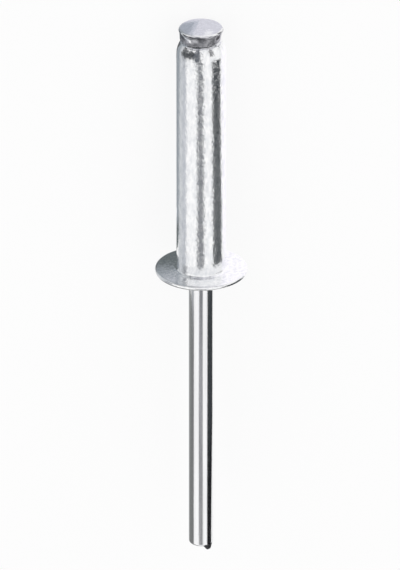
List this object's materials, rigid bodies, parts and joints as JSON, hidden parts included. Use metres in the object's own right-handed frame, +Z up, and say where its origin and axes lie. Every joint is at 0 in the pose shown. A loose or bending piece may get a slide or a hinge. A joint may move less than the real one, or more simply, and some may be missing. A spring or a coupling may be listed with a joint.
{
  "type": "pop rivet",
  "caption": "Open-end blind rivet with a low domed flange, on a break-stem mandrel whose head stands proud of the blind end.",
  "frame": {"origin": "centre of the flange's bearing face, on the rivet's axis", "axes": "+Z up from the surface it lies on; +X along the rivet's length towards the mandrel's head, with the rivet's own axis dipping 5.17 degrees below +X; +Y across"},
  "size_m": [0.0587, 0.0094, 0.0094],
  "materials": {
    "body_aluminium": "bright, lightly tumbled",
    "mandrel_steel": "bright drawn wire, smooth"
  },
  "bodies": {
    "root": {"rivet_body": "body_aluminium", "mandrel": "mandrel_steel"}
  },
  "joints": []
}
